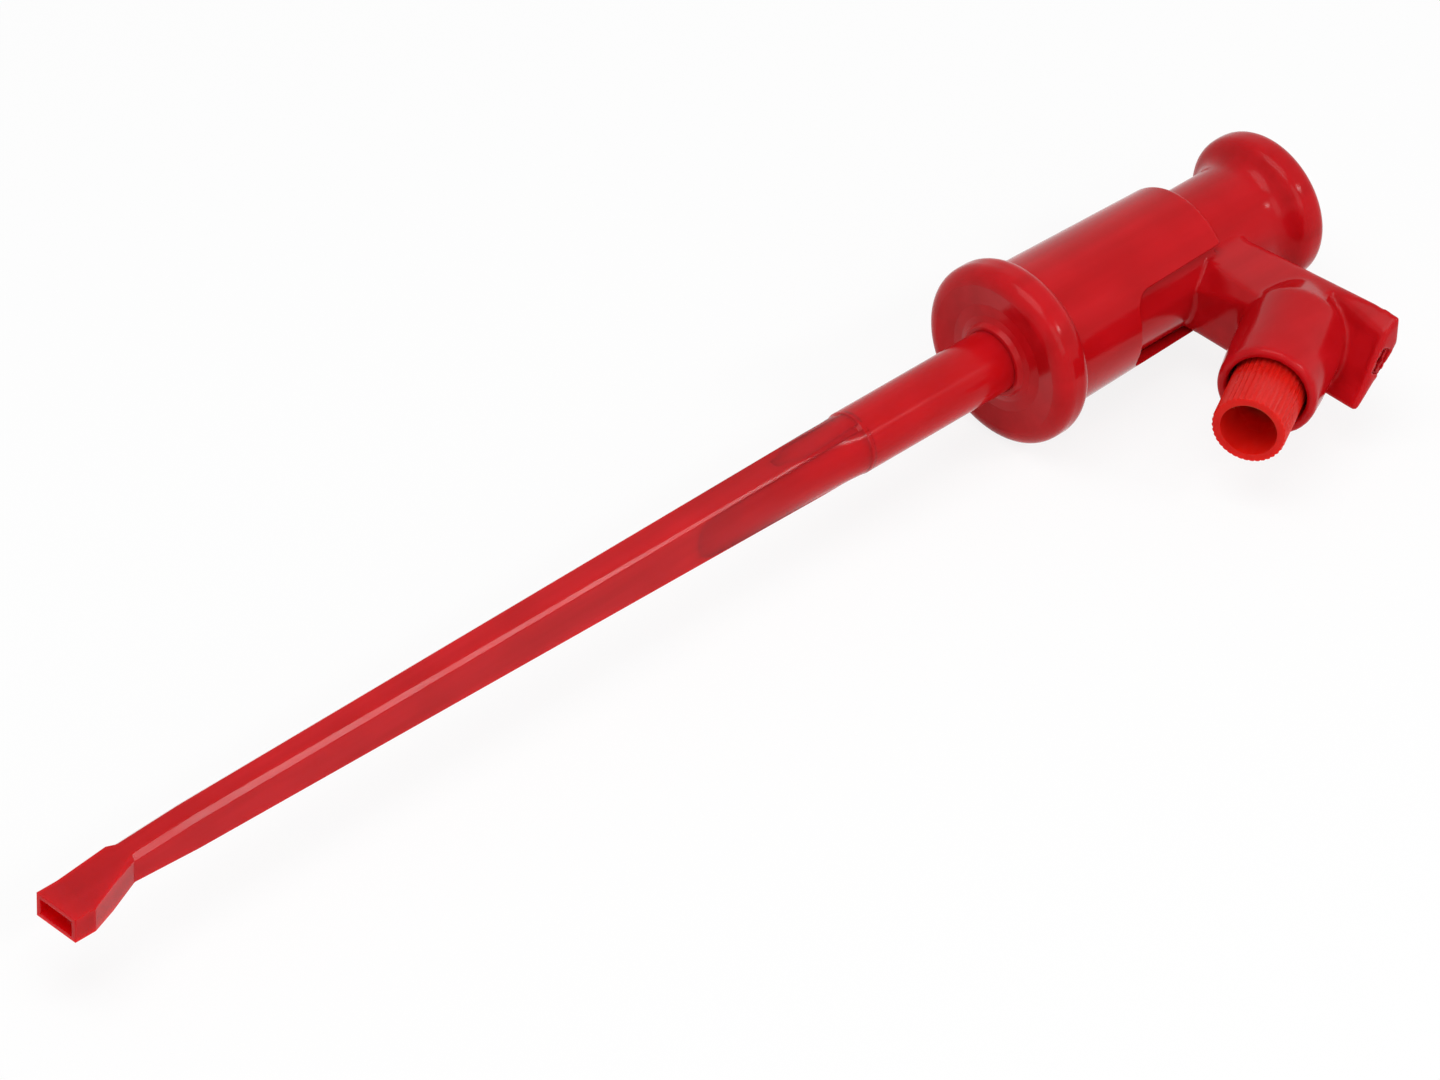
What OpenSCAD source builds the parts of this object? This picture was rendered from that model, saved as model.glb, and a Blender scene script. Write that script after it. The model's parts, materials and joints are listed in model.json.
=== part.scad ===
// Grabber test hook: a spring plunger pushes a hook out of a long insulated nose
// The mouth of the bill is at the origin, the nose runs along X, and the side arm points along Y

/* [Nose] */
// Length of the nose from the mouth of the bill to the step at its root
nose_l = 99.6; // [80:0.2:110]
// Width of the nose where the bill begins
nose_tip_w = 2.9; // [2.8:0.1:3.2]
// Height of the nose where the bill begins
nose_tip_h = 4.2; // [4:0.1:4.4]
// Width of the nose at the step
nose_end_w = 3.3; // [3.1:0.1:3.5]
// Height of the nose at the step
nose_end_h = 5.8; // [5.6:0.1:5.9]
// Chamfer along the four edges of the nose at the bill
nose_chamfer = 0.5; // [0.4:0.05:0.6]
// Diameter of the plain root behind the step
root_d = 6.4; // [6.3:0.1:7]
// Length of the plain root in front of the flange
root_l = 20.2; // [12:0.2:30]

/* [Bill] */
// Width of the mouth
bill_w = 5.1; // [4.6:0.1:5.6]
// Height of the mouth
bill_h = 2.6; // [2.3:0.1:3]
// Distance from the rod's axis to the outside of the plain side
bill_back = 1.1; // [1.05:0.05:1.4]
// Length of the straight box at the mouth
bill_box = 2.4; // [2:0.1:4]
// Length of the slanted flare behind the box
bill_flare = 6.7; // [6:0.1:9]
// Thickness of the bill's walls
bill_wall = 0.45; // [0.4:0.01:0.5]

/* [Grip] */
// Length of the grip from the flange's front to its rear rim
grip_l = 25.4; // [24.5:0.1:32]
// Diameter of the grip behind the flange
grip_d = 15.3; // [14.9:0.1:15.9]
// Diameter of the grip at the rear rim
grip_rear_d = 14.4; // [14.2:0.1:14.8]
// Diameter of the bore that guides the plunger
grip_bore_d = 12.8; // [12.4:0.1:13.1]
// Diameter of the finger flange
flange_d = 18.6; // [17.8:0.1:20.6]
// Thickness of the finger flange
flange_t = 4.1; // [3.8:0.1:5]
// Rounding of the flange's edge
flange_edge = 1.6; // [1.2:0.1:1.8]
// Height of the collar where the nose leaves the flange
collar_h = 0.5; // [0.3:0.1:0.8]
// Rounding of the rear rim
rim_edge = 0.5; // [0.3:0.1:0.6]

/* [Plunger] */
// Travel of the plunger
stroke = 8; // [5:0.5:8]
// Diameter of the neck between grip and cap
neck_d = 11.4; // [10.8:0.1:11.8]
// Length of the plunger behind the rear rim
neck_l = 13.5; // [12.5:0.1:18]
// Diameter of the thumb cap
cap_d = 15.5; // [14.6:0.1:18]
// Thickness of the thumb cap
cap_t = 3.8; // [3.4:0.1:4]
// Rounding of the thumb cap's edge
cap_edge = 1.5; // [1:0.1:1.6]
// Radius of the hollow between neck and cap
cap_hollow = 2.2; // [1:0.1:3]

/* [Arm] */
// Reach of the arm from the axis
arm_l = 25.2; // [25:0.1:29]
// Height of the arm at the screw
arm_h = 8.4; // [8:0.1:8.6]
// Depth of the arm along the nose
arm_t = 8.1; // [7.8:0.1:8.3]
// Rounding of the arm's long edges
arm_edge = 0.9; // [0.7:0.1:1.1]
// Rise of the arm's top towards its end, in degrees
arm_rise = 4.8; // [4:0.2:5.6]
// Lean of the end block's front from the upright
front_lean = 26; // [24:1:28]
// Lean of the end block's rear from the upright
rear_lean = 43; // [40:1:45]
// Depth of the panel sunk in the end block
panel_deep = 0.15; // [0.1:0.05:0.2]

/* [Terminal] */
// Angle of the screw's axis to the nose
screw_tilt = 27; // [24:1:28]
// Diameter of the knurled sleeve
sleeve_d = 7.3; // [7:0.1:7.6]
// Length of the sleeve outside the boss
sleeve_out = 6.1; // [5.5:0.1:8]
// Number of ridges on the sleeve
ridges = 38; // [24:1:44]
// Outer diameter of the boss
boss_d = 9.9; // [9.5:0.1:10.2]
// Diameter of the plug socket
socket_d = 4; // [3.5:0.1:4.2]
// Depth from the sleeve's front to the plug socket
socket_deep = 7; // [6:0.1:8]
// Diameter of the hole for the lead in the end plug
lead_d = 0.8; // [0.6:0.05:0.9]
// Diameter of the lead's way behind the plug
lead_way_d = 1.3; // [1.1:0.05:1.4]

/* [Rod and spring] */
// Diameter of the rod
rod_d = 1; // [0.8:0.05:1.1]
// Radius of the hook's bend on the rod's middle line
hook_r = 1; // [0.85:0.05:1]
// Diameter of the spring's wire
wire_d = 0.7; // [0.5:0.05:0.8]
// Number of turns of the spring
turns = 7; // [5:1:8]

/* [Fits] */
// Gap between the plunger and the grip's bore, on the radius
slide_gap = 0.06; // [0.03:0.01:0.1]
// Least gap between the arm and the sides of its slot
slot_gap = 0.25; // [0.15:0.05:0.4]
// Gap round the rod in the nose, on the radius
rod_gap = 0.08; // [0.04:0.01:0.1]
// Gap round the screw's thread and pad, on the radius
thread_gap = 0.06; // [0.03:0.01:0.1]

/* [Hidden] */
$fn = 64;

// Stations along X
x_flare = -(bill_box + bill_flare);
x_step = -nose_l;
x_mid = (x_flare + x_step) / 2;
x_flange = x_step - root_l;
seat_deep = 4;
x_seat = x_flange - seat_deep;
head_t = 2;
x_head = x_seat - head_t;
x_rim = x_flange - grip_l;
x_end = x_rim - neck_l;
x_cap = x_end + cap_t;
arm_front = x_rim + 4.1;
arm_rear = arm_front - arm_t;
x_arm = (arm_front + arm_rear) / 2;
x_slot = arm_front + stroke + 0.6;
x_guide = x_slot - 0.1;
x_floor = arm_front + 1.6;

// Sizes that follow from the fits
guide_r = grip_bore_d / 2 - slide_gap;
slot_h = arm_h + 2 * slot_gap;
rod_r = rod_d / 2;
rod_bore_r = rod_r + rod_gap;
head_r = 3.9;
spring_r = 3.2;
pocket_r = 4.2;
bend_r = 2.5;
step_l = 2.2;

// The arm's inside and the block in it
block_gap = 0.05;
room = 5.3;
room_start = 9.2;
block_l = 10.3;
block_mid = -0.35;
block_w = room - 2 * block_gap;
room_end = room_start + block_l;

// The end block leans back: where its front and rear planes cross the level of the rod
y_slab = room_end + 0.6;
front_x = -0.35;
rear_x = -3.25;
beyond_boss = 2.6;
plug_start = arm_l - 2.8;
plug_end = arm_l - 0.3;
plug_t = 1.3;
plug_h = 2.6;
plug_lean = 32;
slit_deep = 0.5;
slit_w = 0.4;
slit_h = 2.4;
lead_x = -1.78;
lead_z = 0.1;
far = 60;

// The screw's axis leaves the arm's middle plane at this point
screw_y = room_start + 6.75;
screw_run = (arm_front - x_arm) / cos(screw_tilt);
boss_run = screw_run + 6.75;
sleeve_run = boss_run + sleeve_out;
sleeve_l = sleeve_out + 4.4;
sleeve_r = sleeve_d / 2;
well_r = 2.8;
thread_r = 2;
pad_t = 0.8;
hole_end = -1.5;
pad_end = hole_end + pad_t;
body_end = sleeve_run - sleeve_l - 2.2;

// The hook's bend lies far enough back for its end to clear the slanted wall
x_hook = -3.1;
hook_leg = 0.6;

// A round bar or hole along X
module bar_x(from, to, r) {
    translate([from, 0, 0])
        rotate([0, 90, 0])
            cylinder(h = to - from, r = r);
}

// A round bar or hole along Y, set off the arm's middle line by dx and dz
module bar_y(from, to, r, dx = 0, dz = 0) {
    translate([x_arm + dx, from, dz])
        rotate([-90, 0, 0])
            cylinder(h = to - from, r = r);
}

// A turned solid: the outline has the radius as its first value and the station as its second
module turned_x() {
    rotate([0, 90, 0])
        rotate_extrude()
            children();
}

// What is drawn along Z is set on the screw's axis, with zero on the arm's middle plane
module on_screw() {
    translate([x_arm, screw_y, 0])
        rotate([0, 90, screw_tilt])
            children();
}

// What is drawn upright is set on a plane of the end block that leans back
module on_lean(x, lean, z = 0) {
    translate([x_arm + x, 0, z])
        rotate([0, -lean, 0])
            children();
}

// All that lies above a tilted plane through a point of the arm
module above(point, tilt) {
    translate([x_arm, 0, 0] + point)
        rotate(tilt)
            translate([-far / 2, -far / 2, 0])
                cube(far);
}

// All that lies beyond the boss, towards the arm's end
module beside_boss(more = 0) {
    translate([x_arm, screw_y, 0])
        rotate([0, 0, screw_tilt])
            translate([-far / 2, beyond_boss + more, -far / 2])
                cube(far);
}

// Half the outline of a disc with a round edge, from zero up to its thickness
module disc_half(r, t, edge) {
    square([r - edge, t]);
    translate([0, edge])
        square([r, t - 2 * edge]);
    translate([r - edge, edge])
        circle(edge);
    translate([r - edge, t - edge])
        circle(edge);
}

// The hollow between a disc's round edge, below zero, and a post of radius post_r above it
module hollow_half(post_r, disc_r, edge, f) {
    ra = disc_r - edge;
    yc = sqrt(pow(edge + f, 2) - pow(post_r + f - ra, 2)) - edge;
    difference() {
        polygon([[post_r - 0.4, yc], [post_r + f, yc], [ra, -edge], [post_r - 0.4, -edge]]);
        translate([post_r + f, yc])
            circle(f);
    }
}

// What is cut off a square corner at zero to leave a round one, with the solid below and left of it
module corner_cut(r) {
    difference() {
        translate([-r, -r])
            square(2 * r);
        translate([-r, -r])
            circle(r);
        translate([-3 * r, -3 * r])
            square([2 * r, 4 * r]);
        translate([-3 * r, -3 * r])
            square([4 * r, 2 * r]);
    }
}

// A rectangle with round corners, centred
module round_box(w, h, r) {
    difference() {
        square([w, h], center = true);
        for (sx = [0, 1], sy = [0, 1])
            mirror([sx, 0])
                mirror([0, sy])
                    translate([w / 2, h / 2])
                        corner_cut(r);
    }
}

// Grip with the finger flange
module grip_half() {
    rr = grip_rear_d / 2;
    fr = flange_d / 2;
    flat_r = fr - flange_edge;
    cr = root_d / 2 + 0.4;
    valley_r = max(flat_r, grip_d / 2) + 0.45;
    x_back = x_flange - flange_t;
    x_valley = x_back + flange_edge - sqrt(pow(flange_edge, 2) - pow(valley_r - flat_r, 2));
    difference() {
        polygon([[0, x_flange + collar_h], [cr, x_flange + collar_h], [cr + 0.3, x_flange],
                 [cr + 0.9, x_flange - 0.2], [cr + 2, x_flange - 0.3], [flat_r, x_flange], [fr, x_flange],
                 [fr, x_valley], [valley_r, x_valley], [grip_d / 2, x_back - 0.5], [grip_d / 2, x_back - 1],
                 [rr, x_rim + rim_edge], [rr, x_rim], [0, x_rim]]);
        translate([fr, x_flange])
            corner_cut(flange_edge);
        intersection() {
            translate([fr, x_back])
                mirror([0, 1])
                    corner_cut(flange_edge);
            translate([valley_r, x_back - 1])
                square(8);
        }
        translate([rr, x_rim])
            mirror([0, 1])
                corner_cut(rim_edge);
    }
}

module barrel() {
    corner = 2;
    color([0.72, 0.03, 0.03])
        difference() {
            turned_x() grip_half();
            bar_x(x_rim - 1, x_seat, grip_bore_d / 2);
            bar_x(x_seat - 1, x_flange + collar_h + 1, root_d / 2);
            // slot for the arm, open at the rear
            translate([0, 4, 0])
                rotate([-90, 0, 0])
                    linear_extrude(height = 6)
                        union() {
                            translate([x_rim - 1, -slot_h / 2])
                                square([x_slot - corner - x_rim + 1, slot_h]);
                            translate([x_slot - corner - 0.1, corner - slot_h / 2])
                                square([corner + 0.1, slot_h - 2 * corner]);
                            for (s = [-1, 1])
                                translate([x_slot - corner, s * (slot_h / 2 - corner)])
                                    circle(corner);
                        }
        }
}

// The bill's height grows as far as x_rise, past the end of the flare
bill_side = bill_w - bill_back;
x_rise = x_flare - 7.5;
flare_z = bill_h / 2 + (nose_tip_h - bill_h) / 2 * bill_flare / (bill_flare + 7.5);

// Half the distance between opposite chamfers where the edges have half widths y and z
function across(y, z, chamfer) = (y + z - chamfer) / sqrt(2);

// One side of the chamfered form, from the mouth to the step; the chamfer narrows towards the step
function diagonal(s) =
    [[0, s * 4.75],
     [x_flare - 0.15, s * across(nose_tip_w / 2, flare_z, nose_chamfer)],
     [x_rise - 0.25, s * across(nose_tip_w / 2, nose_tip_h / 2, nose_chamfer)],
     [x_step, s * across(nose_end_w / 2, nose_end_h / 2, 0.36 * nose_chamfer)]];

// What lies between two opposite chamfers of the nose
module nose_diagonal() {
    right = diagonal(1);
    linear_extrude(height = 14, center = true)
        polygon(concat(diagonal(-1), [for (i = [3 : -1 : 0]) right[i]]));
}

// Tapering nose: four tapering outlines and a turned one meet in a tall bar with chamfered edges
module nose_body() {
    intersection() {
        linear_extrude(height = 10, center = true)
            polygon([[0, -bill_back], [-bill_box, -bill_back], [x_flare, -nose_tip_w / 2],
                     [x_step, -nose_end_w / 2], [x_step, nose_end_w / 2], [x_flare, nose_tip_w / 2],
                     [-bill_box, bill_side], [0, bill_side]]);
        rotate([90, 0, 0])
            linear_extrude(height = 12, center = true)
                polygon([[0, -bill_h / 2], [-bill_box, -bill_h / 2], [x_rise, -nose_tip_h / 2],
                         [x_step, -nose_end_h / 2], [x_step, nose_end_h / 2], [x_rise, nose_tip_h / 2],
                         [-bill_box, bill_h / 2], [0, bill_h / 2]]);
        rotate([45, 0, 0])
            nose_diagonal();
        rotate([-45, 0, 0])
            nose_diagonal();
        turned_x()
            polygon([[0, x_step], [root_d / 2 - 0.1, x_step], [root_d / 2 + 0.2, x_mid], [5.5, x_flare],
                     [5.5, 0], [0, 0]]);
    }
}

module nose_tube() {
    color([0.74, 0.03, 0.03])
        difference() {
            union() {
                nose_body();
                turned_x()
                    polygon([[0, x_step + step_l], [1.2, x_step + step_l], [root_d / 2 - 0.2, x_step],
                             [root_d / 2, x_step - 0.6], [root_d / 2, x_seat], [head_r, x_seat],
                             [head_r, x_head], [0, x_head]]);
            }
            bar_x(x_head - 1, x_flare + 0.2, rod_bore_r);
            // room for the hook
            linear_extrude(height = bill_h - 2 * bill_wall, center = true)
                polygon([[1, bill_wall - bill_back], [x_flare, bill_wall - bill_back],
                         [x_flare, nose_tip_w / 2 - bill_wall], [-bill_box, bill_side - bill_wall],
                         [1, bill_side - bill_wall]]);
        }
}

// Sliding moulding: guide, neck and thumb cap
module plunger_half() {
    polygon([[0, x_guide], [guide_r, x_guide], [guide_r, x_rim + 0.6], [neck_d / 2, x_rim + 0.2],
             [neck_d / 2, x_cap - 0.5], [0, x_cap - 0.5]]);
    translate([0, x_end])
        disc_half(cap_d / 2, cap_t, cap_edge);
    translate([0, x_cap])
        hollow_half(neck_d / 2, cap_d / 2, cap_edge, cap_hollow);
}

// A bar with round edges along the arm, with its top at zero
module arm_bar(w, h) {
    translate([0, 0, -h / 2])
        rotate([-90, 0, 0])
            linear_extrude(height = far, center = true)
                round_box(w, h, arm_edge);
}

// What is cut off the end's corner, seen from above with the corner at zero
module end_bevel(l) {
    linear_extrude(height = far, center = true)
        polygon([[-2 * l, l], [l, -2 * l], [l, l]]);
}

// The arm's top rises towards the end, and its end is cut down to a block that leans back
module arm_body() {
    tall = 16;
    top_y = screw_y + 1.75;
    difference() {
        intersection() {
            translate([x_arm, 0, tall - arm_h / 2])
                arm_bar(arm_t, tall);
            translate([x_arm, top_y, arm_h / 2])
                rotate([arm_rise, 0, 0])
                    arm_bar(arm_t + 0.04, tall);
            translate([x_arm - far / 2, 0, -far / 2])
                cube([far, arm_l, far]);
        }
        // slope of the top's front edge, widest beside the grip
        above([arm_t / 2, 6, 1.05], [10.5, 45, 0]);
        // front and top of the end block
        intersection() {
            on_lean(front_x, front_lean)
                translate([0, -far / 2, -far / 2])
                    cube(far);
            beside_boss();
        }
        intersection() {
            above([-1.9, arm_l, 3.2], [-5, 30, 0]);
            beside_boss();
        }
        // rear of the end block
        on_lean(rear_x, rear_lean)
            translate([-far, y_slab, -far / 2])
                cube(far);
        // sunk panel and the bevels round the end
        intersection() {
            on_lean(front_x, front_lean)
                translate([-panel_deep, screw_y, -3.2])
                    cube([2, arm_l - 0.6 - screw_y, 6.3]);
            beside_boss(0.1);
        }
        on_lean(front_x, front_lean)
            translate([0, arm_l, 0])
                end_bevel(0.3);
        on_lean(rear_x, rear_lean)
            translate([0, arm_l, 0])
                mirror([1, 0, 0])
                    end_bevel(0.4);
    }
}

module boss_outside() {
    base_r = boss_d / 2 + 0.3;
    on_screw()
        rotate_extrude()
            polygon([[0, -3], [base_r - 1.5, -3], [base_r, 1], [base_r - 0.15, boss_run - 3],
                     [boss_d / 2, boss_run - 0.3], [boss_d / 2 - 0.3, boss_run], [0, boss_run]]);
}

module plunger() {
    color([0.7, 0.03, 0.03])
        difference() {
            union() {
                turned_x() plunger_half();
                arm_body();
                intersection() {
                    boss_outside();
                    translate([arm_rear + 1, 0, -far / 2])
                        cube(far);
                }
            }
            // pocket for the spring and the way for the rod
            bar_x(x_floor, x_guide + 1, pocket_r);
            bar_x(x_arm, x_floor + 1, rod_bore_r);
            translate([x_arm - rod_bore_r, -rod_bore_r, -rod_bore_r])
                cube([bend_r + 2 * rod_bore_r, room_start + rod_bore_r + 0.1, 2 * rod_bore_r]);
            // room for the terminal block, the plug and the lead
            translate([x_arm + block_mid - room / 2, room_start, -room / 2])
                cube([room, block_l, room]);
            on_lean(lead_x, plug_lean, lead_z)
                translate([-plug_t / 2 - block_gap, plug_start, -plug_h / 2 - block_gap])
                    cube([plug_t + 2 * block_gap, 10, plug_h + 2 * block_gap]);
            bar_y(room_end - 1, arm_l, lead_way_d / 2, lead_x, lead_z);
            // well for the sleeve and the way for the screw
            on_screw() {
                translate([0, 0, sleeve_run - sleeve_l - 0.3])
                    cylinder(h = far, r = sleeve_r + 0.3);
                cylinder(h = far, r = well_r + 0.2);
            }
        }
}

// Flat plug in the arm's end, with a slit for the lead
module end_plug() {
    color([0.66, 0.03, 0.03])
        difference() {
            on_lean(lead_x, plug_lean, lead_z)
                translate([-plug_t / 2, plug_start, -plug_h / 2])
                    cube([plug_t, plug_end - plug_start, plug_h]);
            bar_y(plug_start - 1, arm_l, lead_d / 2, lead_x, lead_z);
            on_lean(lead_x, plug_lean, lead_z)
                translate([-slit_w / 2, plug_end - slit_deep, -slit_h / 2])
                    cube([slit_w, 2, slit_h]);
        }
}

// Knurled insulating sleeve of the screw
module screw_cap() {
    low = sleeve_run - sleeve_l;
    color([0.8, 0.05, 0.03])
        on_screw()
            difference() {
                intersection() {
                    translate([0, 0, low])
                        linear_extrude(height = sleeve_l)
                            polygon([for (i = [0 : 2 * ridges - 1])
                                let (a = 180 * i / ridges)
                                (sleeve_r - (i % 2) * 0.16) * [cos(a), sin(a)]]);
                    rotate_extrude()
                        polygon([[0, low], [sleeve_r - 0.3, low], [sleeve_r + 0.3, low + 0.6],
                                 [sleeve_r + 0.3, sleeve_run - 0.4], [sleeve_r - 0.1, sleeve_run],
                                 [0, sleeve_run]]);
                }
                translate([0, 0, low - 1])
                    cylinder(h = sleeve_l + 2, r = well_r);
            }
}

// Steel rod with the hook at its front and a turn into the arm at its rear
module hook_rod() {
    x_bend = x_arm + bend_r;
    color([0.75, 0.76, 0.78])
        union() {
            bar_x(x_bend, x_hook, rod_r);
            translate([x_hook, hook_r, 0])
                rotate([0, 0, -90])
                    rotate_extrude(angle = 180)
                        translate([hook_r, 0])
                            circle(rod_r);
            translate([0, 2 * hook_r, 0])
                bar_x(x_hook - hook_leg, x_hook, rod_r);
            translate([x_bend, bend_r, 0])
                rotate([0, 0, 180])
                    rotate_extrude(angle = 90)
                        translate([bend_r, 0])
                            circle(rod_r);
            bar_y(bend_r, room_start + 3, rod_r);
        }
}

// Spring wire swept along a helix between the nose tube's head and the pocket's floor
spring_from = x_floor + wire_d / 2;
spring_to = x_head - wire_d / 2;
sides = 8;
rings = turns * 16;
function coil_point(i, j) =
    let (a = 360 * i * turns / rings, b = 360 * j / sides, r = spring_r + wire_d / 2 * cos(b))
    [spring_from + (spring_to - spring_from) * i / rings + wire_d / 2 * sin(b), r * cos(a), r * sin(a)];

module return_spring() {
    color([0.7, 0.71, 0.73])
        polyhedron(
            points = [for (i = [0 : rings], j = [0 : sides - 1]) coil_point(i, j)],
            faces = concat(
                [for (i = [0 : rings - 1], j = [0 : sides - 1])
                    [i * sides + j, i * sides + (j + 1) % sides, (i + 1) * sides + (j + 1) % sides,
                     (i + 1) * sides + j]],
                [[for (j = [sides - 1 : -1 : 0]) j]],
                [[for (j = [0 : sides - 1]) rings * sides + j]]));
}

// Brass block with a threaded hole for the screw and holes for the rod and the lead
module terminal_block() {
    color([0.78, 0.62, 0.3])
        difference() {
            translate([x_arm + block_mid - block_w / 2, room_start, -block_w / 2])
                cube([block_w, block_l, block_w]);
            bar_y(room_start - 1, room_start + 3, rod_r);
            bar_y(screw_y, room_end + 1, lead_way_d / 2, lead_x, lead_z);
            on_screw()
                translate([0, 0, hole_end])
                    cylinder(h = 20, r = thread_r + thread_gap);
        }
}

// Brass screw, bored as a plug socket
module clamp_screw() {
    top = sleeve_run - socket_deep;
    color([0.8, 0.64, 0.32])
        on_screw()
            difference() {
                union() {
                    translate([0, 0, pad_end])
                        cylinder(h = body_end - pad_end + 0.1, r = thread_r);
                    translate([0, 0, body_end])
                        cylinder(h = top - body_end, r = well_r);
                }
                translate([0, 0, body_end + 0.6])
                    cylinder(h = top, r = socket_d / 2);
            }
}

// Disc between the screw's end and the lead
module pressure_pad() {
    color([0.72, 0.73, 0.75])
        on_screw()
            translate([0, 0, hole_end])
                cylinder(h = pad_t, r = thread_r - 0.1);
}

barrel();
nose_tube();
plunger();
end_plug();
screw_cap();
hook_rod();
return_spring();
terminal_block();
clamp_screw();
pressure_pad();
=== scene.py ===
"""Looks of a long-nosed grabber test hook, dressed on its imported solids."""

import json
import math

import bmesh
import bpy
from bpy.props import FloatProperty, FloatVectorProperty, IntProperty, PointerProperty
from bpy.types import Operator, Panel, PropertyGroup
from mathutils import Matrix, Vector


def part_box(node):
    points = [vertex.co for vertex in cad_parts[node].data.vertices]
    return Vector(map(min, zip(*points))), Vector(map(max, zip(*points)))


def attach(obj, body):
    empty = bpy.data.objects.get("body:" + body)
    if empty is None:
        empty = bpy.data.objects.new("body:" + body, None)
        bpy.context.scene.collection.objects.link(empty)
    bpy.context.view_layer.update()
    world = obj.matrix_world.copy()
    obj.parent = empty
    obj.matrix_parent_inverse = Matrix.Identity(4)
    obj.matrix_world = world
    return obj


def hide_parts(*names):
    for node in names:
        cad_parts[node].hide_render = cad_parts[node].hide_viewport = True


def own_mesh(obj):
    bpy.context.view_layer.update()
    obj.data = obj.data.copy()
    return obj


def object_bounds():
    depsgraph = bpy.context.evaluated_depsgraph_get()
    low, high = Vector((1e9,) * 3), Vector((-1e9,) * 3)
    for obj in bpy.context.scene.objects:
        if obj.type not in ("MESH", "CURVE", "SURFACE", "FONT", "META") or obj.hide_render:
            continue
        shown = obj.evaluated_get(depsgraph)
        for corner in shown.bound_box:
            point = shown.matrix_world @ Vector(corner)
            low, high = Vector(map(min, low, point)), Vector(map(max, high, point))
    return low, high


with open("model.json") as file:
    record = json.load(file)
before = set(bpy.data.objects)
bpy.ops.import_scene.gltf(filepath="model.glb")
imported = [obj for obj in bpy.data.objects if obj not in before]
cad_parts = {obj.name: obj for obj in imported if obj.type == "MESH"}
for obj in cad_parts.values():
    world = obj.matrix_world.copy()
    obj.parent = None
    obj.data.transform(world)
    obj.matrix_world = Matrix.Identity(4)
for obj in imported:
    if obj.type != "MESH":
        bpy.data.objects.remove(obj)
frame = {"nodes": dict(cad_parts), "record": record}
CAD_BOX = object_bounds()

bl_info = {
    "name": "Grabber Test Hook",
    "version": (1, 0, 0),
    "blender": (4, 5, 0),
    "location": "View3D > Sidebar > Grabber",
    "description": "Dresses the packed solids of a grabber test hook and sets its stage",
    "category": "3D View",
}

NODE_SLOTS = {s["node"]: s["material_slot"] for s in frame["record"]["subparts"]}

# Moulded pieces: node, colour, tint, added roughness, edge radius (None for the usual one), glow.
# The plunger's edge is 0, because its own mesh is rounded.
MOULDINGS = (
    ("barrel", "body", 1.0, 0.0, None, 0.3),
    ("nose_tube", "body", 1.03, 0.0, None, 0.85),
    ("plunger", "body", 0.97, 0.02, 0, 0.3),
    ("end_plug", "body", 0.9, 0.06, None, 0.3),
    ("screw_cap", "sleeve", 1.0, 0.1, 0.00005, 0.8),
)

# Metal pieces: node, metal, added roughness
METALS = (
    ("hook_rod", "steel", 0.0),
    ("pressure_pad", "steel", 0.08),
    ("terminal_block", "brass", 0.06),
    ("clamp_screw", "brass", 0.0),
)

# Noises of the finishes: scale, detail, and stretch along the axes if any
SKIN_GRAIN = (2600, 2.0)
SKIN_SMUDGES = (190, 4.0)
MELT_STREAKS = (420, 3.0, (0.10, 1.0, 1.0))
MELT_CLOUDS = (95, 2.0)
METAL_LINES = (3000, 2.0, (0.06, 1.0, 1.0))
METAL_CLOUDS = (500, 3.0)

# Noise values between which an effect rises to its full strength, and those strengths
SMUDGE_ENDS, MOST_SMUDGE = (0.42, 0.68), 0.06
MELT_ENDS = (0.16, 0.36)
TARNISH_ENDS, MOST_TARNISH = (0.46, 0.72), 0.7
LINES_ENDS, LINES_ROUGHNESS = (0.3, 0.7), 0.14

# Tints of a colour, channel by channel
DEEP_TINT = (0.84, 0.62, 0.62)
TARNISH_TINTS = {"steel": (0.7, 0.7, 0.7), "brass": (0.7, 0.6, 0.5)}
SPRING_TINT = (0.92, 0.92, 0.92)
SPRING_TARNISH = (0.6, 0.6, 0.6)

# How far red, green and blue light runs under the skin, and the depth that a full glow adds
LIGHT_SPREAD = (1.0, 0.12, 0.06)
GLOW_DEPTH = 2
PLASTIC_IOR = 1.5
EDGE_SAMPLES = 6
METAL_RELIEF = 0.000004

# Swelling of the nose; the foot's shares of the flat's distance and half width keep it in the wall
BOW_POINTS = 18
SWELL_STEPS = 16
LEAST_SWELL = 0.000005
FOOT_DEPTH, FOOT_WIDTH = 0.8, 0.9
SHARP_ANGLE = math.radians(35)

# Skin of the plunger
MERGE_DISTANCE = 0.000001
EASE = 0.5

# Return spring; the pitch of its closed turns is in wire diameters
WIRE_SIDES = 12
TURN_STEPS = 28
CLOSED_PITCH = 1.04

# Floor, sky and camera
FLOOR_SIZE = 6.0
FLOOR_GAP = 0.0001
FLOOR_WHITE = 0.86
SKY_SEEN, SKY_LIGHT = 0.6, 0.4
SENSOR_WIDTH = 36.0
CLIP_START, CLIP_END = 0.01, 30

# Lamps: sizes, powers, and places from the point that they face
KEY_SIZE, KEY_POWER = (0.5, 0.4), 2.1
KEY_PLACE = Vector((0.15, 0.05, 0.6))
FILL_SIZE, FILL_POWER = (0.4, 0.4), 0.9
FILL_BACK, FILL_RIGHT = 0.6, 0.35
EDGE_SIZE, EDGE_POWER = (0.19, 0.06), 0.6
EDGE_TARGET = Vector((-0.05, 0, 0))
EDGE_PLACE = Vector((-0.294, 0.390, 0.350))
EDGE_ALONG = Vector((-0.851, -0.396, -0.346))


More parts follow.
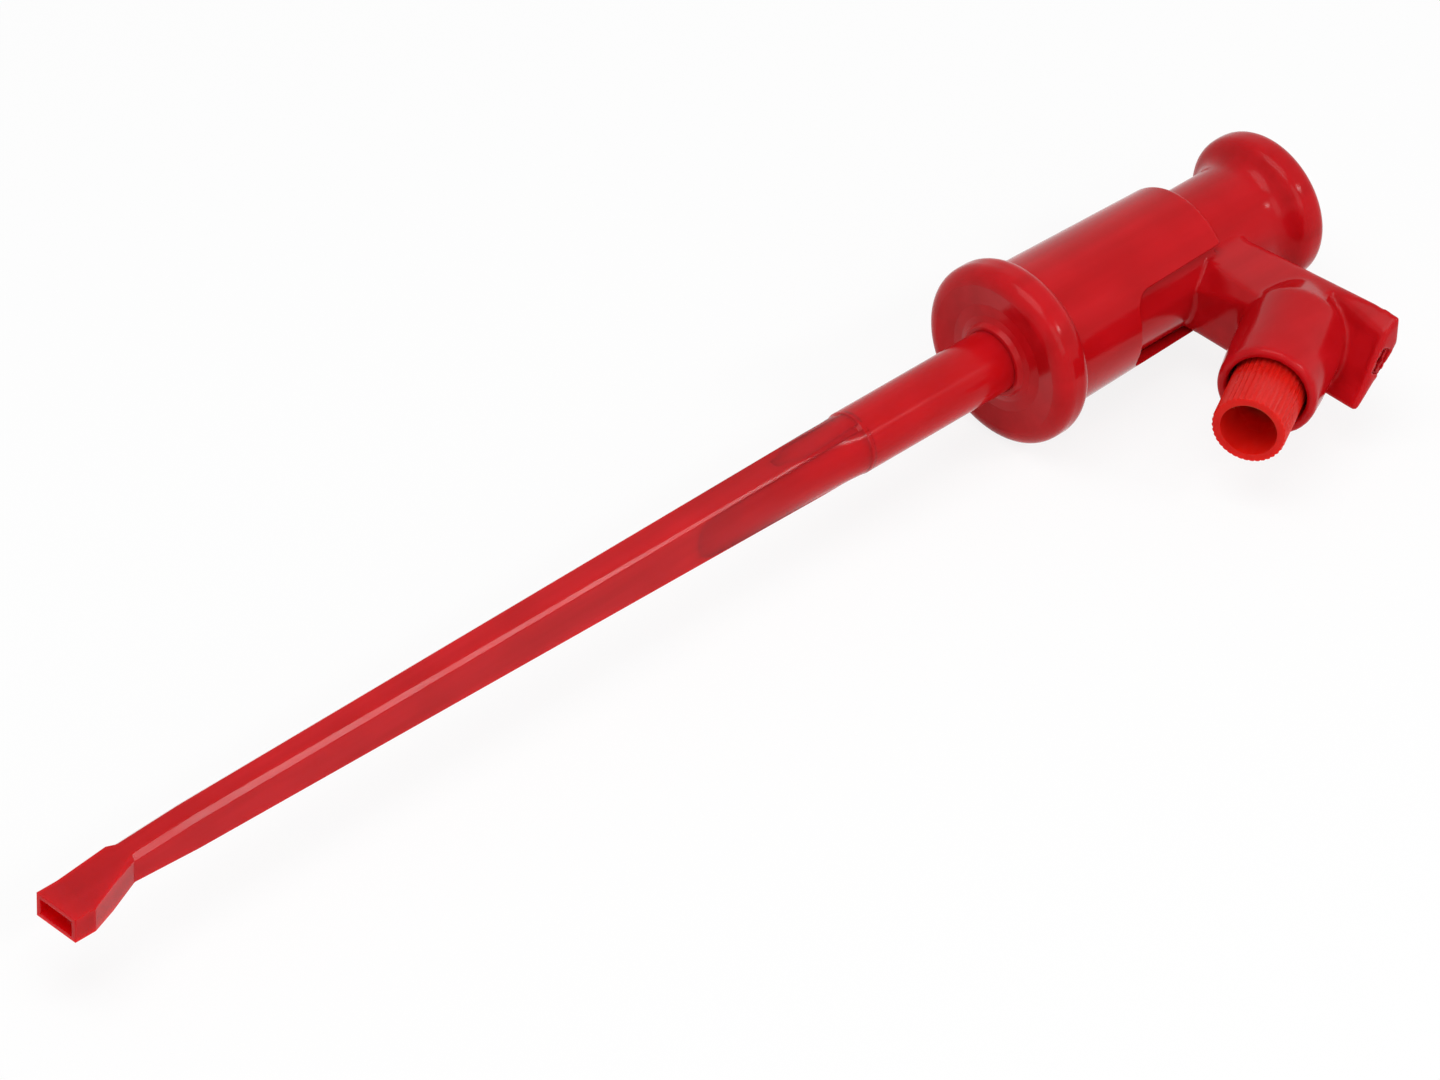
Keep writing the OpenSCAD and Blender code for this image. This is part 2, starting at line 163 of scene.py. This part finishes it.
class GrabberPlastic(PropertyGroup):
    """Finish of the moulded red pieces."""

    body: FloatVectorProperty(
        name="Body Colour", description="Colour of the grip, nose and plunger", size=3,
        min=0, max=1, subtype="COLOR", default=(0.52, 0.006, 0.010))
    sleeve: FloatVectorProperty(
        name="Sleeve Colour", description="Colour of the knurled sleeve", size=3,
        min=0, max=1, subtype="COLOR", default=(0.62, 0.012, 0.008))
    roughness: FloatProperty(
        name="Roughness", description="Roughness of the clean moulded skin",
        min=0, max=1, subtype="FACTOR", default=0.13)
    gloss: FloatProperty(
        name="Gloss", description="Strength of the reflections",
        min=0, max=1, subtype="FACTOR", default=0.11)
    depth: FloatProperty(
        name="Light Depth", description="How far light runs under the skin",
        min=0, unit="LENGTH", default=0.0012)
    grain: FloatProperty(
        name="Skin Relief", description="Height of the moulded skin's fine relief",
        min=0, unit="LENGTH", default=0.000003)
    edge: FloatProperty(
        name="Edge Radius", description="Rounding seen on moulded edges",
        min=0, unit="LENGTH", default=0.00014)


class GrabberMetal(PropertyGroup):
    """Finish of the steel and brass pieces."""

    steel: FloatVectorProperty(
        name="Steel Colour", description="Colour of the rod, spring and pad", size=3,
        min=0, max=1, subtype="COLOR", default=(0.62, 0.63, 0.65))
    brass: FloatVectorProperty(
        name="Brass Colour", description="Colour of the terminal block and screw", size=3,
        min=0, max=1, subtype="COLOR", default=(0.78, 0.58, 0.26))
    roughness: FloatProperty(
        name="Roughness", description="Roughness of the drawn and turned metal",
        min=0, max=1, subtype="FACTOR", default=0.26)


class GrabberMoulding(PropertyGroup):
    """Rounding of the plunger's edges and corners."""

    cell: FloatProperty(
        name="Cell", description="Size of the cells that the plunger's skin is made from",
        min=0.0001, unit="LENGTH", default=0.00022)
    passes: IntProperty(
        name="Passes", description="How often the skin is eased", min=1, default=8)
    guide: FloatProperty(
        name="Guide Radius",
        description="Radius inside the grip within which the skin keeps its running fit",
        unit="LENGTH", default=0.0076)
    lip: FloatProperty(
        name="Lip", description="Distance from the end plug within which the skin keeps its edge",
        unit="LENGTH", default=0.0003)


class GrabberNose(PropertyGroup):
    """Swelling of the nose's flats towards its round root."""

    side_start: FloatProperty(
        name="Side Start",
        description="Distance from the mouth to where the sides begin to swell",
        unit="LENGTH", default=0.0775)
    top_start: FloatProperty(
        name="Top Start", description="Distance from the mouth to where the top begins to swell",
        unit="LENGTH", default=0.090)
    end: FloatProperty(
        name="End", description="Distance from the mouth to the root",
        unit="LENGTH", default=0.0994)
    seat: FloatProperty(
        name="Seat", description="Distance from the mouth to where the swelling meets the root",
        unit="LENGTH", default=0.1006)
    root: FloatProperty(
        name="Root", description="Radius of the swelling where it meets the root",
        unit="LENGTH", default=0.003203)
    side: FloatVectorProperty(
        name="Side Distances",
        description="Distance of the flat sides from the axis, at the start and at the end",
        size=2, unit="LENGTH", default=(0.001595, 0.001645))
    side_half: FloatVectorProperty(
        name="Side Half Heights",
        description="Half height of the flat sides, at the start and at the end",
        size=2, unit="LENGTH", default=(0.002410, 0.002622))
    top: FloatVectorProperty(
        name="Top Distances",
        description="Distance of the flat top from the axis, at the start and at the end",
        size=2, unit="LENGTH", default=(0.002803, 0.002894))
    top_half: FloatVectorProperty(
        name="Top Half Widths",
        description="Half width of the flat top, at the start and at the end",
        size=2, unit="LENGTH", default=(0.001370, 0.001100))
    swell: FloatVectorProperty(
        name="Swell",
        description="How far the near side, the far side and the top stand out at the end",
        size=3, unit="LENGTH", default=(0.00143, 0.00136, 0.00019))


class GrabberSpring(PropertyGroup):
    """Sizes of the return spring."""

    wire: FloatProperty(
        name="Wire", description="Diameter of the spring's wire",
        min=0.0001, unit="LENGTH", default=0.0007)
    turns: IntProperty(
        name="Open Turns", description="Turns between the closed end turns", min=2, default=5)
    keep: FloatProperty(
        name="Pressed Length",
        description="Share of its length that the spring keeps at full stroke",
        min=0.05, max=1, subtype="FACTOR", default=0.412)


class GrabberStage(PropertyGroup):
    """Floor, light and camera."""

    floor: FloatVectorProperty(
        name="Floor Colour", description="Colour of the floor", size=3,
        min=0, max=1, subtype="COLOR", default=(0.90, 0.90, 0.90))
    target: FloatVectorProperty(
        name="Target", description="Point the camera looks at", size=3,
        subtype="TRANSLATION", default=(-0.083238, 0.0, -0.002607))
    azimuth: FloatProperty(
        name="Azimuth", description="Turn of the camera round the object",
        subtype="ANGLE", default=math.radians(133.8))
    elevation: FloatProperty(
        name="Elevation", description="Height of the camera above the horizon",
        subtype="ANGLE", default=math.radians(37.934))
    roll: FloatProperty(
        name="Roll", description="Turn of the camera about its own line of sight",
        subtype="ANGLE", default=math.radians(2.476))
    distance: FloatProperty(
        name="Distance", description="Distance from the camera to its target",
        unit="LENGTH", default=0.831227)
    lens: FloatProperty(
        name="Lens", description="Focal length in millimetres", default=223.496)


class GrabberSettings(PropertyGroup):
    """All settings of the part."""

    plastic: PointerProperty(type=GrabberPlastic)
    metal: PointerProperty(type=GrabberMetal)
    moulding: PointerProperty(type=GrabberMoulding)
    nose: PointerProperty(type=GrabberNose)
    spring: PointerProperty(type=GrabberSpring)
    stage: PointerProperty(type=GrabberStage)


def settings():
    """The part's settings in the open scene."""
    return bpy.context.scene.grabber


def tinted(colour, tint):
    """A colour with each channel multiplied by the tint's."""
    return tuple(c * t for c, t in zip(colour, tint))


def new_group(name, inputs, outputs):
    """An empty shader node group with named sockets."""
    group = bpy.data.node_groups.new(name, "ShaderNodeTree")
    for in_out, sockets in (("INPUT", inputs), ("OUTPUT", outputs)):
        for label, kind in sockets:
            group.interface.new_socket(label, in_out=in_out, socket_type=kind)
    return group, group.nodes.new("NodeGroupInput"), group.nodes.new("NodeGroupOutput")


def feed(links, socket, value):
    """Links a value of another node to the socket, or sets a plain one."""
    if isinstance(value, bpy.types.NodeSocket):
        links.new(value, socket)
    else:
        socket.default_value = value


def reckon(nodes, links, operation, *values):
    """The result of a sum, product or other operation."""
    node = nodes.new("ShaderNodeMath")
    node.operation = operation
    for socket, value in zip(node.inputs, values):
        feed(links, socket, value)
    return node.outputs[0]


def noise(nodes, links, vector, scale, detail, stretch=None):
    """A noise texture on the given coordinates, stretched along the axes if asked."""
    if stretch is not None:
        mapping = nodes.new("ShaderNodeMapping")
        mapping.inputs["Scale"].default_value = stretch
        links.new(vector, mapping.inputs["Vector"])
        vector = mapping.outputs["Vector"]
    texture = nodes.new("ShaderNodeTexNoise")
    texture.inputs["Scale"].default_value = scale
    texture.inputs["Detail"].default_value = detail
    links.new(vector, texture.inputs["Vector"])
    return texture.outputs["Fac"]


def rise(nodes, links, value, ends, most):
    """Nothing up to the first end, the most from the second, and an even rise between."""
    node = nodes.new("ShaderNodeMapRange")
    node.inputs["From Min"].default_value, node.inputs["From Max"].default_value = ends
    node.inputs["To Min"].default_value = 0.0
    feed(links, node.inputs["To Max"], most)
    links.new(value, node.inputs["Value"])
    return node.outputs["Result"]


def blend_colour(nodes, links, factor, a, b):
    """Two colours mixed by a factor."""
    node = nodes.new("ShaderNodeMix")
    node.data_type = "RGBA"
    links.new(factor, node.inputs["Factor"])
    for name, colour in (("A", a), ("B", b)):
        socket = next(s for s in node.inputs if s.name == name and s.type == "RGBA")
        links.new(colour, socket)
    return next(s for s in node.outputs if s.type == "RGBA")


def moulded_skin_group():
    """Fine relief and smudged gloss of a moulded skin."""
    group, inside, outside = new_group(
        "moulded_skin",
        [("Vector", "NodeSocketVector"), ("Roughness", "NodeSocketFloat"),
         ("Smudge", "NodeSocketFloat")],
        [("Height", "NodeSocketFloat"), ("Roughness", "NodeSocketFloat")])
    nodes, links = group.nodes, group.links
    vector = inside.outputs["Vector"]
    links.new(noise(nodes, links, vector, *SKIN_GRAIN), outside.inputs["Height"])
    patches = noise(nodes, links, vector, *SKIN_SMUDGES)
    smudge = rise(nodes, links, patches, SMUDGE_ENDS, inside.outputs["Smudge"])
    rough = reckon(nodes, links, "ADD", inside.outputs["Roughness"], smudge)
    links.new(rough, outside.inputs["Roughness"])
    return group


def melt_flow_group():
    """Faint streaks that the melt leaves along a moulding, as a tint of its colour."""
    group, inside, outside = new_group(
        "melt_flow",
        [("Vector", "NodeSocketVector"), ("Colour", "NodeSocketColor"),
         ("Deep", "NodeSocketColor")],
        [("Colour", "NodeSocketColor")])
    nodes, links = group.nodes, group.links
    vector = inside.outputs["Vector"]
    streaks = noise(nodes, links, vector, *MELT_STREAKS)
    clouds = noise(nodes, links, vector, *MELT_CLOUDS)
    both = reckon(nodes, links, "MULTIPLY", streaks, clouds)
    factor = rise(nodes, links, both, MELT_ENDS, 1.0)
    colour = blend_colour(nodes, links, factor, inside.outputs["Deep"], inside.outputs["Colour"])
    links.new(colour, outside.inputs["Colour"])
    return group


def drawn_metal_group():
    """Lines of drawing or turning in metal, with a faint tarnish."""
    group, inside, outside = new_group(
        "drawn_metal",
        [("Vector", "NodeSocketVector"), ("Colour", "NodeSocketColor"),
         ("Tarnish", "NodeSocketColor"), ("Roughness", "NodeSocketFloat")],
        [("Colour", "NodeSocketColor"), ("Roughness", "NodeSocketFloat"),
         ("Height", "NodeSocketFloat")])
    nodes, links = group.nodes, group.links
    vector = inside.outputs["Vector"]
    lines = noise(nodes, links, vector, *METAL_LINES)
    clouds = noise(nodes, links, vector, *METAL_CLOUDS)
    links.new(lines, outside.inputs["Height"])
    factor = rise(nodes, links, clouds, TARNISH_ENDS, MOST_TARNISH)
    colour = blend_colour(
        nodes, links, factor, inside.outputs["Colour"], inside.outputs["Tarnish"])
    links.new(colour, outside.inputs["Colour"])
    scratches = rise(nodes, links, lines, LINES_ENDS, LINES_ROUGHNESS)
    rough = reckon(nodes, links, "ADD", inside.outputs["Roughness"], scratches)
    links.new(rough, outside.inputs["Roughness"])
    return group


def shared_group(name, build):
    """The node group of this name, built at its first use."""
    return bpy.data.node_groups.get(name) or build()


def start_material(name):
    """A material with its shader, and the object's own coordinates."""
    material = bpy.data.materials.new(name)
    material.use_nodes = True
    nodes = material.node_tree.nodes
    shader = nodes["Principled BSDF"]
    coordinates = nodes.new("ShaderNodeTexCoord")
    return material, nodes, material.node_tree.links, shader, coordinates.outputs["Object"]


def place_group(nodes, links, group, vector):
    """A node that uses the group on the given coordinates."""
    node = nodes.new("ShaderNodeGroup")
    node.node_tree = group
    links.new(vector, node.inputs["Vector"])
    return node


def add_relief(nodes, links, shader, height, depth, edge):
    """Relief on the surface, over edges that look rounded if they have a radius."""
    bump = nodes.new("ShaderNodeBump")
    bump.inputs["Distance"].default_value = depth
    links.new(height, bump.inputs["Height"])
    if edge > 0:
        rounded = nodes.new("ShaderNodeBevel")
        rounded.samples = EDGE_SAMPLES
        rounded.inputs["Radius"].default_value = edge
        links.new(rounded.outputs["Normal"], bump.inputs["Normal"])
    links.new(bump.outputs["Normal"], shader.inputs["Normal"])


def red_plastic(slot, colour, roughness, edge, glow):
    """Glossy moulded plastic, with melt streaks, fine relief and smudged gloss."""
    plastic = settings().plastic
    material, nodes, links, shader, vector = start_material(slot)
    flow = place_group(nodes, links, shared_group("melt_flow", melt_flow_group), vector)
    flow.inputs["Colour"].default_value = (*colour, 1)
    flow.inputs["Deep"].default_value = (*tinted(colour, DEEP_TINT), 1)
    links.new(flow.outputs["Colour"], shader.inputs["Base Color"])
    skin = place_group(nodes, links, shared_group("moulded_skin", moulded_skin_group), vector)
    skin.inputs["Roughness"].default_value = roughness
    skin.inputs["Smudge"].default_value = MOST_SMUDGE
    links.new(skin.outputs["Roughness"], shader.inputs["Roughness"])
    shader.inputs["IOR"].default_value = PLASTIC_IOR
    shader.inputs["Specular IOR Level"].default_value = plastic.gloss
    shader.inputs["Subsurface Weight"].default_value = glow
    shader.inputs["Subsurface Radius"].default_value = LIGHT_SPREAD
    shader.inputs["Subsurface Scale"].default_value = plastic.depth * (1 + GLOW_DEPTH * glow)
    add_relief(nodes, links, shader, skin.outputs["Height"], plastic.grain, edge)
    return material


def bare_metal(slot, colour, tarnish, roughness):
    """Drawn or turned metal, with fine lines and a faint tarnish."""
    material, nodes, links, shader, vector = start_material(slot)
    lines = place_group(nodes, links, shared_group("drawn_metal", drawn_metal_group), vector)
    lines.inputs["Colour"].default_value = (*colour, 1)
    lines.inputs["Tarnish"].default_value = (*tarnish, 1)
    lines.inputs["Roughness"].default_value = roughness
    links.new(lines.outputs["Colour"], shader.inputs["Base Color"])
    links.new(lines.outputs["Roughness"], shader.inputs["Roughness"])
    shader.inputs["Metallic"].default_value = 1.0
    add_relief(nodes, links, shader, lines.outputs["Height"], METAL_RELIEF, 0)
    return material


def paint(node, material):
    """Puts a material on a solid's slots."""
    mesh = frame["nodes"][node].data
    if not mesh.materials:
        mesh.materials.append(material)
    for i in range(len(mesh.materials)):
        mesh.materials[i] = material


def new_piece(bm, name):
    """An object made from the worked mesh, in the scene."""
    mesh = bpy.data.meshes.new(name)
    bm.to_mesh(mesh)
    bm.free()
    piece = bpy.data.objects.new(name, mesh)
    bpy.context.scene.collection.objects.link(piece)
    return piece


def shade_walls(bm):
    """Turns the faces outwards and shades all but the end faces smooth."""
    bmesh.ops.recalc_face_normals(bm, faces=bm.faces)
    for face in bm.faces:
        face.smooth = len(face.verts) == 4


class GRABBER_OT_mouldings(Operator):
    """Give the grip, nose, plunger, plug and sleeve their moulded finish"""

    bl_idname = "grabber.mouldings"
    bl_label = "Moulded Pieces"

    def execute(self, context):
        plastic = settings().plastic
        for node, name, tint, added, edge, glow in MOULDINGS:
            colour = tinted(getattr(plastic, name), (tint,) * 3)
            radius = plastic.edge if edge is None else edge
            paint(node, red_plastic(
                NODE_SLOTS[node], colour, plastic.roughness + added, radius, glow))
        return {"FINISHED"}


def bow_points(x, side, half, swell):
    """A bow with its ends on a flat's edges, and a foot inside the wall."""
    radius = (half ** 2 + swell ** 2) / (2 * swell)
    reach = math.atan2(half, radius - swell)
    bow = [(x, side + swell - radius + radius * math.cos(a), radius * math.sin(a))
           for a in (reach * (2 * i / BOW_POINTS - 1) for i in range(BOW_POINTS + 1))]
    foot = side * FOOT_DEPTH
    return bow + [(x, foot, half * FOOT_WIDTH), (x, foot, -half * FOOT_WIDTH)]


def add_swelling(bm, turn, start, end, side, half, swell, seat=None):
    """Swells one of the nose's flats towards the root.

    The seat is the place and radius where the swelling meets the root.
    """
    rows = []
    for i in range(SWELL_STEPS + 1):
        t = i / SWELL_STEPS
        rows.append((-(start + (end - start) * t), side[0] + (side[1] - side[0]) * t,
                     half[0] + (half[1] - half[0]) * t, max(swell * t * t, LEAST_SWELL)))
    if seat is not None:
        place, radius = seat
        grow = radius / math.hypot(side[1], half[1])
        rows.append((-place, side[1] * grow, half[1] * grow, radius - side[1] * grow))
    turned = Matrix.Rotation(turn, 3, "X")
    loops = []
    for row in rows:
        ring = [bm.verts.new(turned @ Vector(co)) for co in bow_points(*row)]
        loops.append([bm.edges.new((a, b)) for a, b in zip(ring, ring[1:] + ring[:1])])
    for a, b in zip(loops, loops[1:]):
        bmesh.ops.bridge_loops(bm, edges=a + b)
    for loop in (loops[0], loops[-1]):
        bmesh.ops.contextual_create(bm, geom=loop)


class GRABBER_OT_nose_root(Operator):
    """Swell the nose's flats out into its round root"""

    bl_idname = "grabber.nose_root"
    bl_label = "Nose Root"

    def execute(self, context):
        nose = settings().nose
        near, far, top = nose.swell
        seat = nose.seat, nose.root
        bm = bmesh.new()
        add_swelling(bm, 0, nose.side_start, nose.end, nose.side, nose.side_half, near, seat)
        add_swelling(bm, math.pi, nose.side_start, nose.end, nose.side, nose.side_half, far)
        for turn in (math.pi / 2, -math.pi / 2):
            add_swelling(bm, turn, nose.top_start, nose.end, nose.top, nose.top_half, top, seat)
        shade_walls(bm)
        sides = new_piece(bm, "nose_root_sides")
        sides.data.set_sharp_from_angle(angle=SHARP_ANGLE)
        sides.data.materials.append(frame["nodes"]["nose_tube"].data.materials[0])
        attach(sides, "grip")
        return {"FINISHED"}


def ease_skin(mesh, sizes):
    """Eases the plunger's skin, but not in the grip's bore or next to the end plug."""
    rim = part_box("barrel")[0][0]
    low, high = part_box("end_plug")
    bm = bmesh.new()
    bm.from_mesh(mesh)
    free = []
    for vert in bm.verts:
        guided = vert.co.x > rim and math.hypot(vert.co.y, vert.co.z) < sizes.guide
        closed = all(
            low[i] - sizes.lip < vert.co[i] < high[i] + sizes.lip for i in range(3))
        if not guided and not closed:
            free.append(vert)
    for _ in range(sizes.passes):
        bmesh.ops.smooth_vert(
            bm, verts=free, factor=EASE, use_axis_x=True, use_axis_y=True, use_axis_z=True)
    bm.to_mesh(mesh)
    bm.free()


class GRABBER_OT_plunger(Operator):
    """Round the plunger's edges and corners as a mould does"""

    bl_idname = "grabber.plunger"
    bl_label = "Plunger"

    def execute(self, context):
        sizes = settings().moulding
        source = frame["nodes"]["plunger"]
        bm = bmesh.new()
        bm.from_mesh(source.data)
        bm.transform(source.matrix_world)
        bmesh.ops.remove_doubles(bm, verts=bm.verts, dist=MERGE_DISTANCE)
        plunger = new_piece(bm, "plunger_moulding")
        plain = plunger.data
        skin = plunger.modifiers.new("skin", "REMESH")
        skin.mode = "VOXEL"
        skin.voxel_size = sizes.cell
        skin.use_smooth_shade = True
        skinned = plunger.evaluated_get(context.evaluated_depsgraph_get())
        eased = bpy.data.meshes.new_from_object(skinned)
        plunger.modifiers.clear()
        plunger.data = eased
        bpy.data.meshes.remove(plain)
        eased.name = "plunger_moulding"
        ease_skin(eased, sizes)
        eased.materials.clear()
        eased.materials.append(source.data.materials[0])
        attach(plunger, "slider")
        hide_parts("plunger")
        return {"FINISHED"}


class GRABBER_OT_metal(Operator):
    """Give the rod, pad, terminal block and screw their metal finish"""

    bl_idname = "grabber.metal"
    bl_label = "Metal Pieces"

    def execute(self, context):
        metal = settings().metal
        for node, name, added in METALS:
            colour = tuple(getattr(metal, name))
            tarnish = tinted(colour, TARNISH_TINTS[name])
            paint(node, bare_metal(NODE_SLOTS[node], colour, tarnish, metal.roughness + added))
        return {"FINISHED"}


class GRABBER_OT_spring(Operator):
    """Wind the return spring with closed end turns"""

    bl_idname = "grabber.spring"
    bl_label = "Return Spring"

    def execute(self, context):
        sizes, metal = settings().spring, settings().metal
        low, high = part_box("return_spring")
        radius = sizes.wire / 2
        coil = (high.z - low.z) / 2 - radius
        start, end = low.x + radius, high.x - radius
        closed = sizes.wire * CLOSED_PITCH
        place = Matrix.Translation((start, 0, coil)) @ Matrix.Rotation(math.pi / 2, 4, "X")
        bm = bmesh.new()
        ring = bmesh.ops.create_circle(bm, radius=radius, segments=WIRE_SIDES, matrix=place)
        geom = ring["verts"] + list({e for v in ring["verts"] for e in v.link_edges})
        pitch = (end - start - 2 * closed) / sizes.turns
        for turns, climb in ((1, closed), (sizes.turns, pitch), (1, closed)):
            grown = bmesh.ops.spin(
                bm, geom=geom, cent=(0, 0, 0), axis=(1, 0, 0), dvec=(climb / TURN_STEPS, 0, 0),
                angle=2 * math.pi * turns, steps=TURN_STEPS * turns)
            geom = grown["geom_last"]
        ends = [e for e in bm.edges if e.is_boundary]
        bmesh.ops.holes_fill(bm, edges=ends, sides=WIRE_SIDES)
        shade_walls(bm)
        spring = new_piece(bm, "return_spring_wound")
        spring.data.materials.append(bare_metal(
            NODE_SLOTS["return_spring"], tinted(metal.steel, SPRING_TINT),
            tinted(metal.steel, SPRING_TARNISH), metal.roughness))
        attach(spring, "grip")
        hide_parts("return_spring")
        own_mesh(spring)
        return {"FINISHED"}


def background_rays(nodes, links):
    """1 for rays that show the background: the camera's, reflected ones and those through glass."""
    path = nodes.new("ShaderNodeLightPath")
    seen = path.outputs["Is Camera Ray"]
    for ray in ("Is Glossy Ray", "Is Transmission Ray"):
        seen = reckon(nodes, links, "MAXIMUM", seen, path.outputs[ray])
    return seen


def floor_material(colour):
    """White for the camera and for reflections, with the shadow kept."""
    material = bpy.data.materials.new("floor_paper")
    material.use_nodes = True
    nodes, links = material.node_tree.nodes, material.node_tree.links
    nodes.clear()
    output = nodes.new("ShaderNodeOutputMaterial")
    paper = nodes.new("ShaderNodeBsdfDiffuse")
    paper.inputs["Color"].default_value = (*colour, 1)
    white = nodes.new("ShaderNodeEmission")
    share = reckon(nodes, links, "MULTIPLY", background_rays(nodes, links), FLOOR_WHITE)
    mix = nodes.new("ShaderNodeMixShader")
    links.new(share, mix.inputs[0])
    links.new(paper.outputs[0], mix.inputs[1])
    links.new(white.outputs[0], mix.inputs[2])
    links.new(mix.outputs[0], output.inputs["Surface"])
    return material


def lay_floor(colour):
    """Lays the floor just under the part."""
    centre = (CAD_BOX[0] + CAD_BOX[1]) / 2
    place = Matrix.Translation((centre.x, centre.y, CAD_BOX[0].z - FLOOR_GAP))
    bm = bmesh.new()
    bmesh.ops.create_grid(bm, x_segments=1, y_segments=1, size=FLOOR_SIZE, matrix=place)
    floor = new_piece(bm, "floor")
    floor.data.materials.append(floor_material(colour))


def light_sky(scene):
    """A white sky, which lights the part with only a share of the strength that is seen."""
    world = bpy.data.worlds.new("studio")
    scene.world = world
    world.use_nodes = True
    nodes, links = world.node_tree.nodes, world.node_tree.links
    background = nodes["Background"]
    background.inputs["Color"].default_value = (1, 1, 1, 1)
    rays = background_rays(nodes, links)
    strength = reckon(nodes, links, "MULTIPLY_ADD", rays, SKY_SEEN, SKY_LIGHT)
    links.new(strength, background.inputs["Strength"])


def view_axes(stage):
    """Directions from the target to the camera, and to the right and up before the roll."""
    azimuth, elevation = stage.azimuth, stage.elevation
    back = Vector((math.sin(azimuth) * math.cos(elevation),
                   -math.cos(azimuth) * math.cos(elevation), math.sin(elevation)))
    right = Vector((math.cos(azimuth), math.sin(azimuth), 0))
    return back, right, back.cross(right)


def set_camera(scene, stage):
    """Sets up the camera from its target, angles and distance."""
    back, right, up = view_axes(stage)
    turned_right = math.cos(stage.roll) * right + math.sin(stage.roll) * up
    turned_up = -math.sin(stage.roll) * right + math.cos(stage.roll) * up
    data = bpy.data.cameras.new("camera")
    data.sensor_fit = "HORIZONTAL"
    data.sensor_width = SENSOR_WIDTH
    data.lens = stage.lens
    data.clip_start, data.clip_end = CLIP_START, CLIP_END
    camera = bpy.data.objects.new("camera", data)
    scene.collection.objects.link(camera)
    turn = Matrix((turned_right, turned_up, back)).transposed().to_4x4()
    place = Vector(stage.target) + back * stage.distance
    camera.matrix_world = Matrix.Translation(place) @ turn
    scene.camera = camera


def area_light(name, place, target, size, power, along=None):
    """A soft lamp that faces the target, with its first side level or along a direction."""
    light = bpy.data.lights.new(name, "AREA")
    light.shape = "RECTANGLE"
    light.size, light.size_y = size
    light.energy = power
    lamp = bpy.data.objects.new(name, light)
    bpy.context.scene.collection.objects.link(lamp)
    away = (place - target).normalized()
    side = Vector((0, 0, 1)).cross(away) if along is None else along - away * along.dot(away)
    side.normalize()
    turn = Matrix((side, away.cross(side), away)).transposed().to_4x4()
    lamp.matrix_world = Matrix.Translation(place) @ turn


def hang_lamps(stage):
    """Hangs the key and fill lamps, and a small one that shines off the nose's chamfer."""
    back, right, _ = view_axes(stage)
    target = Vector(stage.target)
    area_light("key", target + KEY_PLACE, target, KEY_SIZE, KEY_POWER)
    fill = target + back * FILL_BACK + right * FILL_RIGHT
    area_light("fill", fill, target, FILL_SIZE, FILL_POWER)
    area_light("edge", EDGE_TARGET + EDGE_PLACE, EDGE_TARGET, EDGE_SIZE, EDGE_POWER, EDGE_ALONG)


class GRABBER_OT_stage(Operator):
    """Lay the floor, hang the lights and set the camera"""

    bl_idname = "grabber.stage"
    bl_label = "Stage"

    def execute(self, context):
        stage, scene = settings().stage, context.scene
        lay_floor(tuple(stage.floor))
        light_sky(scene)
        set_camera(scene, stage)
        hang_lamps(stage)
        scene.view_settings.view_transform = "Standard"
        return {"FINISHED"}


class GRABBER_PT_sidebar(Panel):
    """Lists the pieces and their settings in the sidebar."""

    bl_idname = "GRABBER_PT_sidebar"
    bl_label = "Grabber Test Hook"
    bl_space_type = "VIEW_3D"
    bl_region_type = "UI"
    bl_category = "Grabber"

    def draw(self, context):
        for operator in OPERATORS:
            self.layout.operator(operator.bl_idname)
        for group in GrabberSettings.__annotations__:
            box = self.layout.box()
            box.label(text=group.title())
            values = getattr(context.scene.grabber, group)
            for name in values.__annotations__:
                box.prop(values, name)


GROUPS = (
    GrabberPlastic, GrabberMetal, GrabberMoulding, GrabberNose, GrabberSpring, GrabberStage,
    GrabberSettings)
OPERATORS = (
    GRABBER_OT_stage, GRABBER_OT_mouldings, GRABBER_OT_plunger, GRABBER_OT_nose_root,
    GRABBER_OT_metal, GRABBER_OT_spring)
CLASSES = (*GROUPS, *OPERATORS, GRABBER_PT_sidebar)


def register():
    for cls in CLASSES:
        bpy.utils.register_class(cls)
    bpy.types.Scene.grabber = PointerProperty(type=GrabberSettings)


def unregister():
    del bpy.types.Scene.grabber
    for cls in reversed(CLASSES):
        bpy.utils.unregister_class(cls)


def main():
    register()
    bpy.ops.grabber.stage()
    bpy.ops.grabber.mouldings()
    bpy.ops.grabber.plunger()
    bpy.ops.grabber.nose_root()
    bpy.ops.grabber.metal()
    bpy.ops.grabber.spring()


if __name__ == "__main__":
    main()
